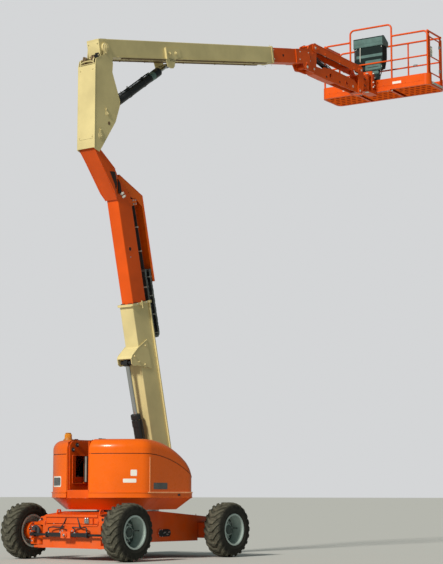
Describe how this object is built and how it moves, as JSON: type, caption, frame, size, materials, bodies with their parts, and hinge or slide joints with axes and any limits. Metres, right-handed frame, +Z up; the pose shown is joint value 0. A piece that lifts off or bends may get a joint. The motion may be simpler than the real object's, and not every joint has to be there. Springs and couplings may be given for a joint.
{
  "type": "articulating boom lift",
  "caption": "Four-wheeled lift with a turntable, telescopic tower boom, levelled upright, telescopic main boom, parallelogram jib and a railed work platform.",
  "frame": {"origin": "on the ground below the turntable's swing axis, midway between the four wheels", "axes": "+X towards the end over which the platform reaches, +Y to the machine's left when looking along +X, +Z up"},
  "size_m": [10.0357, 2.5026, 10.559],
  "materials": {
    "tyre": "matte",
    "rim_paint": "satin",
    "orange_paint": "gloss",
    "black_paint": "satin",
    "steel": "satin",
    "iron_paint": "satin",
    "cream_paint": "gloss",
    "hood_plastic": "gloss",
    "engine_iron": "matte",
    "tank_plastic": "matte",
    "amber": "gloss",
    "track_plastic": "matte",
    "rod": "polished",
    "console_plastic": "matte"
  },
  "bodies": {
    "chassis": {"chassis_frame": "orange_paint", "steer_axle": "orange_paint", "fixed_axle": "orange_paint", "steer_barrels": "black_paint"},
    "wheel_front_left": {"tyre_front_left": "tyre", "rim_front_left": "rim_paint"},
    "wheel_front_right": {"tyre_front_right": "tyre", "rim_front_right": "rim_paint"},
    "wheel_rear_left": {"tyre_rear_left": "tyre", "rim_rear_left": "rim_paint"},
    "wheel_rear_right": {"tyre_rear_right": "tyre", "rim_rear_right": "rim_paint"},
    "hub_left": {"knuckle_left": "orange_paint"},
    "hub_right": {"knuckle_right": "orange_paint"},
    "steer_rod_left": {"steer_rod_left": "rod"},
    "steer_rod_right": {"steer_rod_right": "rod"},
    "turntable": {"slew_ring": "steel", "turntable_frame": "orange_paint", "counterweight": "iron_paint", "engine": "engine_iron", "fuel_tank": "tank_plastic", "hydraulic_tank": "tank_plastic"},
    "hood_left": {"hood_left": "hood_plastic", "beacon": "amber"},
    "hood_right": {"hood_right": "hood_plastic"},
    "tower": {"tower_base": "cream_paint"},
    "tower_extension": {"tower_fly": "orange_paint", "track_guard": "orange_paint", "power_track": "track_plastic"},
    "tower_barrel": {"tower_barrel": "black_paint"},
    "tower_rod": {"tower_rod": "rod"},
    "upright": {"upright": "cream_paint"},
    "main_barrel": {"main_barrel": "black_paint"},
    "main_rod": {"main_rod": "rod"},
    "boom": {"main_boom": "cream_paint"},
    "boom_extension": {"main_fly": "orange_paint"},
    "jib_knuckle": {"jib_knuckle": "orange_paint"},
    "jib_barrel": {"jib_barrel": "black_paint"},
    "jib_rod": {"jib_rod": "rod"},
    "jib_lower_arm": {"jib_lower": "orange_paint"},
    "jib_upper_arm": {"jib_upper": "orange_paint"},
    "jib_head": {"jib_head": "orange_paint"},
    "platform": {"platform_support": "orange_paint", "platform_floor": "orange_paint", "toe_boards": "orange_paint", "platform_rails": "orange_paint", "console": "console_plastic"},
    "gate": {"gate": "orange_paint"}
  },
  "joints": [
    {"name": "swing", "type": "hinge", "parent": "chassis", "child": "turntable", "pos_m": [0, 0, 0.75], "axis": [0, 0, 1], "continuous": true},
    {"name": "wheel_front_left", "type": "hinge", "parent": "chassis", "child": "wheel_front_left", "pos_m": [1.22, 1.065, 0.44], "axis": [0, 1, 0], "continuous": true},
    {"name": "wheel_front_right", "type": "hinge", "parent": "chassis", "child": "wheel_front_right", "pos_m": [1.22, -1.065, 0.44], "axis": [0, 1, 0], "continuous": true},
    {"name": "steer_left", "type": "hinge", "parent": "chassis", "child": "hub_left", "pos_m": [-1.22, 0.76, 0.4], "axis": [0, 0, 1], "range_deg": [-30, 30]},
    {"name": "steer_right", "type": "hinge", "parent": "chassis", "child": "hub_right", "pos_m": [-1.22, -0.76, 0.4], "axis": [0, 0, 1], "range_deg": [-30, 30]},
    {"name": "wheel_rear_left", "type": "hinge", "parent": "hub_left", "child": "wheel_rear_left", "pos_m": [-1.22, 1.065, 0.44], "axis": [0, 1, 0], "continuous": true},
    {"name": "wheel_rear_right", "type": "hinge", "parent": "hub_right", "child": "wheel_rear_right", "pos_m": [-1.22, -1.065, 0.44], "axis": [0, 1, 0], "continuous": true},
    {"name": "steer_rod_left_slide", "type": "slide", "parent": "chassis", "child": "steer_rod_left", "axis": [0, 1, 0], "range_m": [-0.09001, 0.09001]},
    {"name": "steer_rod_right_slide", "type": "slide", "parent": "chassis", "child": "steer_rod_right", "axis": [0, 1, 0], "range_m": [-0.09001, 0.09001]},
    {"name": "hood_left_lift", "type": "hinge", "parent": "turntable", "child": "hood_left", "pos_m": [0, 0.236, 1.85], "axis": [1, 0, 0], "range_deg": [0, 60]},
    {"name": "hood_right_lift", "type": "hinge", "parent": "turntable", "child": "hood_right", "pos_m": [0, -0.236, 1.85], "axis": [-1, 0, 0], "range_deg": [0, 60]},
    {"name": "tower_lift", "type": "hinge", "parent": "turntable", "child": "tower", "pos_m": [0.74, 0, 1.45], "axis": [0, 1, 0], "range_deg": [-70, 0]},
    {"name": "tower_extend", "type": "slide", "parent": "tower", "child": "tower_extension", "axis": [-0.23, 0, 0.9732], "range_m": [-1.55, 0]},
    {"name": "upright_level", "type": "hinge", "parent": "tower_extension", "child": "upright", "pos_m": [-0.93, 0, 6.7], "axis": [0, 1, 0], "range_deg": [0, 70]},
    {"name": "tower_barrel_pivot", "type": "hinge", "parent": "turntable", "child": "tower_barrel", "pos_m": [0.48, 0, 1.1], "axis": [0, 1, 0], "range_deg": [-67.02, 0]},
    {"name": "tower_rod_slide", "type": "slide", "parent": "tower_barrel", "child": "tower_rod", "axis": [-0.2515, 0, 0.9678], "range_m": [-0.49358, 0]},
    {"name": "main_lift", "type": "hinge", "parent": "upright", "child": "boom", "pos_m": [-0.8, 0, 8.19], "axis": [0, -1, 0], "range_deg": [-11.2, 60]},
    {"name": "main_extend", "type": "slide", "parent": "boom", "child": "boom_extension", "axis": [0.981, 0, 0.1942], "range_m": [-0.4, 3.3]},
    {"name": "main_barrel_pivot", "type": "hinge", "parent": "upright", "child": "main_barrel", "pos_m": [-0.777, 0, 7.092], "axis": [0, -1, 0], "range_deg": [-7.26, 38.92]},
    {"name": "main_rod_slide", "type": "slide", "parent": "main_barrel", "child": "main_rod", "axis": [0.8155, 0, 0.5787], "range_m": [-0.13437, 0.71984]},
    {"name": "platform_level", "type": "hinge", "parent": "boom_extension", "child": "jib_knuckle", "pos_m": [4.935, 0, 9.11], "axis": [0, -1, 0], "range_deg": [-60, 11.2]},
    {"name": "jib_lift", "type": "hinge", "parent": "jib_knuckle", "child": "jib_lower_arm", "pos_m": [5.2, 0, 9.13], "axis": [0, -1, 0], "range_deg": [-56.5, 73.5]},
    {"name": "jib_link", "type": "hinge", "parent": "jib_knuckle", "child": "jib_upper_arm", "pos_m": [5.22, 0, 9.55], "axis": [0, -1, 0], "range_deg": [-56.5, 73.5]},
    {"name": "jib_level", "type": "hinge", "parent": "jib_lower_arm", "child": "jib_head", "pos_m": [6.81698, 0, 9.0311], "axis": [0, -1, 0], "range_deg": [-73.5, 56.5]},
    {"name": "jib_barrel_pivot", "type": "hinge", "parent": "jib_knuckle", "child": "jib_barrel", "pos_m": [5.16, 0, 9.427], "axis": [0, -1, 0], "range_deg": [-54.23, 70.55]},
    {"name": "jib_rod_slide", "type": "slide", "parent": "jib_barrel", "child": "jib_rod", "axis": [0.9721, 0, -0.2347], "range_m": [-0.31609, 0.24298]},
    {"name": "platform_rotate", "type": "hinge", "parent": "jib_head", "child": "platform", "pos_m": [7.16, 0, 9.25], "axis": [0, 0, 1], "range_deg": [-96, 84]},
    {"name": "gate_swing", "type": "hinge", "parent": "platform", "child": "gate", "pos_m": [8.25619, -1.11151, 9.8], "axis": [0, 0, -1], "range_deg": [0, 85]}
  ],
  "couplings": [
    {"joint": "steer_right", "follows": "steer_left", "ratio": 1},
    {"joint": "steer_rod_left_slide", "follows": "steer_left", "m_per_rad": -0.1719},
    {"joint": "steer_rod_right_slide", "follows": "steer_left", "m_per_rad": -0.1719},
    {"joint": "upright_level", "follows": "tower_lift", "ratio": -1},
    {"joint": "tower_barrel_pivot", "follows": "tower_lift", "ratio": 0.9574},
    {"joint": "tower_rod_slide", "follows": "tower_lift", "m_per_rad": 0.404},
    {"joint": "main_barrel_pivot", "follows": "main_lift", "ratio": 0.6486},
    {"joint": "main_rod_slide", "follows": "main_lift", "m_per_rad": 0.6874},
    {"joint": "platform_level", "follows": "main_lift", "ratio": -1},
    {"joint": "jib_link", "follows": "jib_lift", "ratio": 1},
    {"joint": "jib_level", "follows": "jib_lift", "ratio": -1},
    {"joint": "jib_barrel_pivot", "follows": "jib_lift", "ratio": 0.9599},
    {"joint": "jib_rod_slide", "follows": "jib_lift", "m_per_rad": -0.2464}
  ]
}
